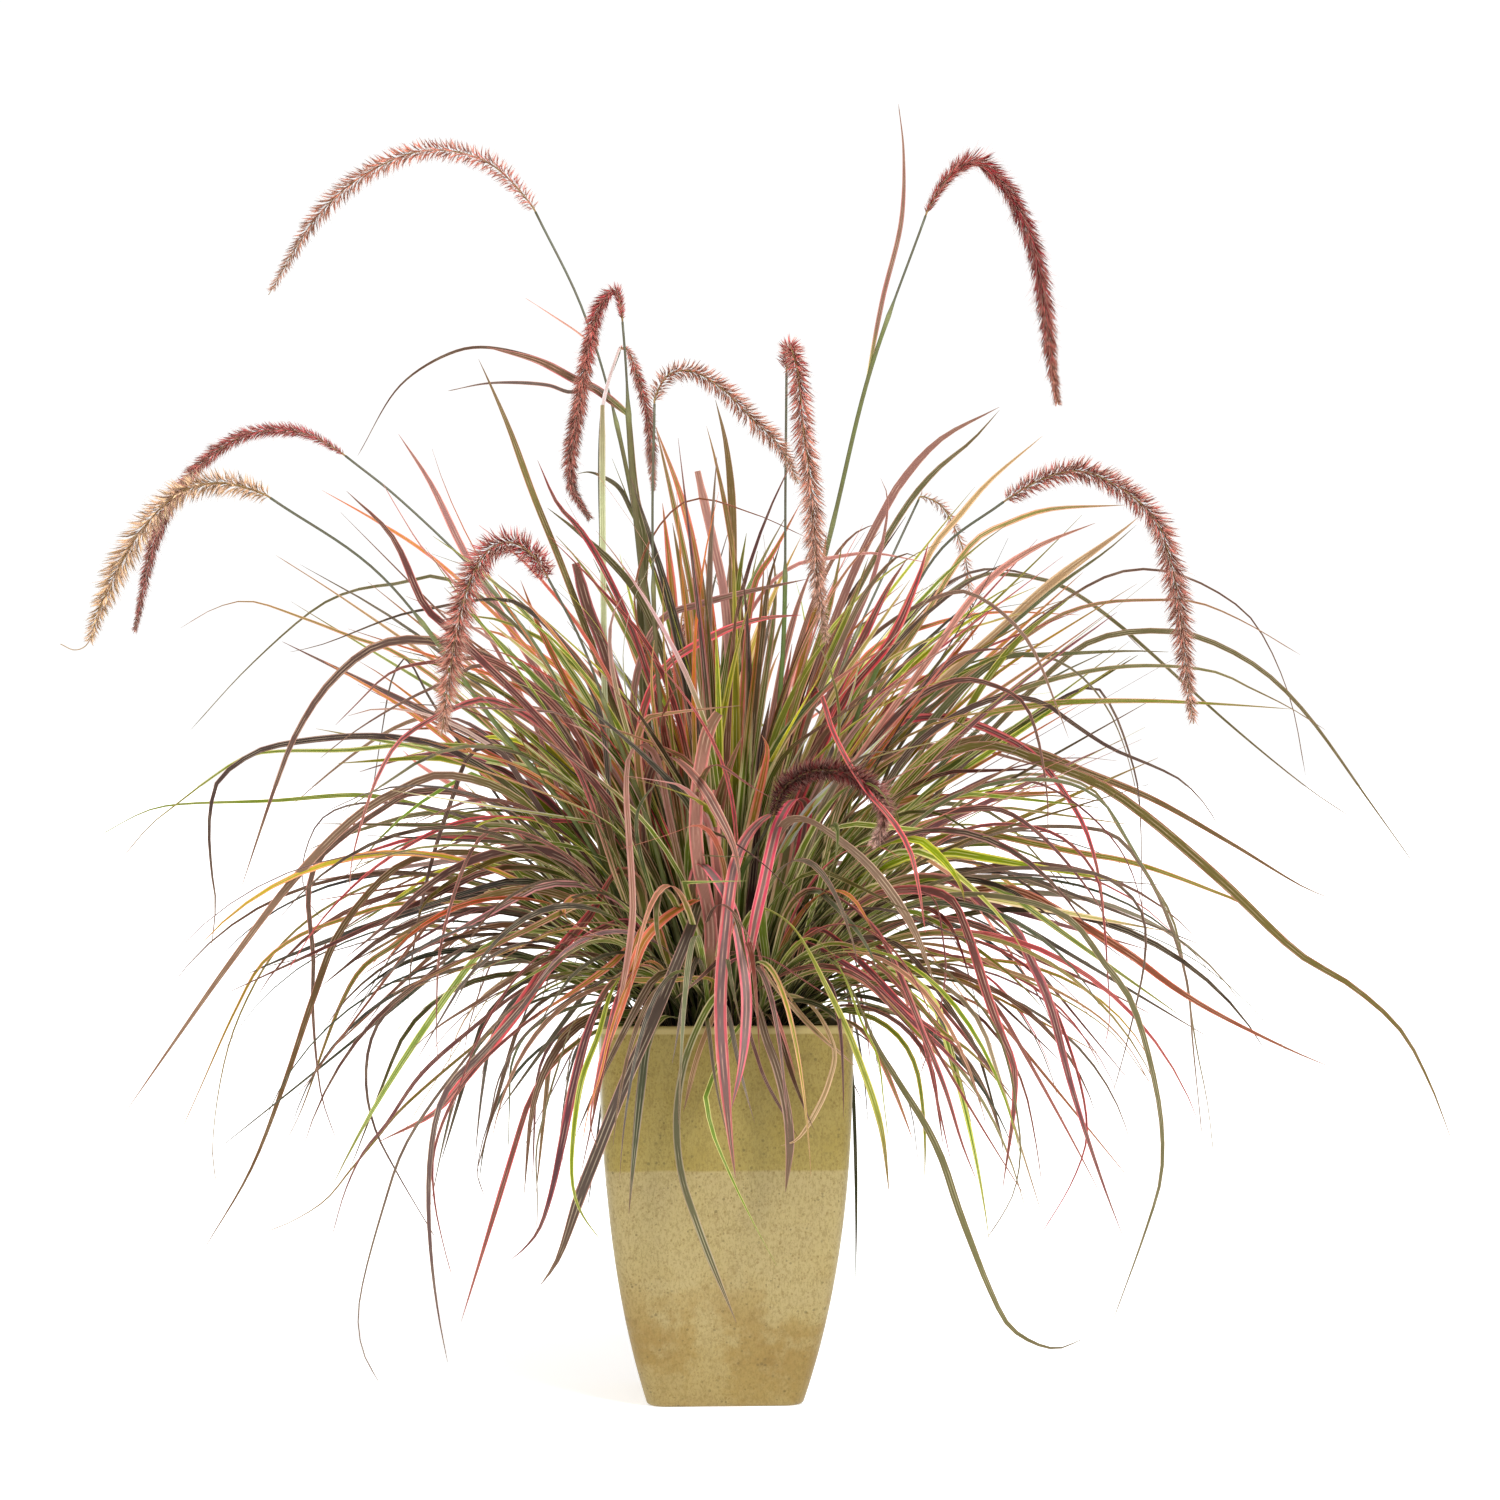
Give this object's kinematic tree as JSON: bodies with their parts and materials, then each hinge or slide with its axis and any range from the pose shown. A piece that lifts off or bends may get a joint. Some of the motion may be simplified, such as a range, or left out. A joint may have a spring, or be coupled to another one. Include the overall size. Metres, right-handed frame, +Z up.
{
  "type": "potted fountain grass clump",
  "caption": "Clump of purple-leaved fountain grass with arching striped blades and bottle-brush flower spikes, growing in a tall square belly-sided glazed planter.",
  "frame": {"origin": "middle of the planter's foot, on the surface that it stands on", "axes": "+Z up, -Y towards the viewer of the picture's front, +X to the right"},
  "size_m": [1.3513, 1.0837, 1.2946],
  "materials": {
    "glazed_stoneware": "satin olive and tan speckled glaze",
    "soil": "rough crumbs",
    "leaf": "satin, green to maroon with pink margins",
    "stem": "satin green",
    "spike": "fine rose and tan bristles"
  },
  "bodies": {
    "root": {"planter": "glazed_stoneware", "potting_soil": "soil", "leaf_tuft_01": "leaf", "leaf_tuft_02": "leaf", "leaf_tuft_03": "leaf", "leaf_tuft_04": "leaf", "leaf_tuft_05": "leaf", "leaf_tuft_06": "leaf", "leaf_tuft_07": "leaf", "leaf_tuft_08": "leaf", "leaf_tuft_09": "leaf", "leaf_tuft_10": "leaf", "leaf_tuft_11": "leaf", "leaf_tuft_12": "leaf", "leaf_tuft_13": "leaf", "leaf_tuft_14": "leaf", "leaf_tuft_15": "leaf", "leaf_tuft_16": "leaf", "leaf_tuft_17": "leaf", "leaf_tuft_18": "leaf", "leaf_tuft_19": "leaf", "leaf_tuft_20": "leaf", "leaf_tuft_21": "leaf", "leaf_tuft_22": "leaf", "leaf_tuft_23": "leaf", "leaf_tuft_24": "leaf", "leaf_tuft_25": "leaf", "leaf_tuft_26": "leaf", "leaf_tuft_27": "leaf", "leaf_tuft_28": "leaf", "leaf_tuft_29": "leaf", "flower_stem_01": "stem", "flower_stem_02": "stem", "flower_stem_03": "stem", "flower_stem_04": "stem", "flower_stem_05": "stem", "flower_stem_06": "stem", "flower_stem_07": "stem", "flower_stem_08": "stem", "flower_stem_09": "stem", "flower_stem_10": "stem", "flower_stem_11": "stem", "flower_stem_12": "stem", "flower_stem_13": "stem", "flower_stem_14": "stem", "flower_spike_01": "spike", "flower_spike_02": "spike", "flower_spike_03": "spike", "flower_spike_04": "spike", "flower_spike_05": "spike", "flower_spike_06": "spike", "flower_spike_07": "spike", "flower_spike_08": "spike", "flower_spike_09": "spike", "flower_spike_10": "spike", "flower_spike_11": "spike", "flower_spike_12": "spike", "flower_spike_13": "spike", "flower_spike_14": "spike"}
  },
  "joints": []
}
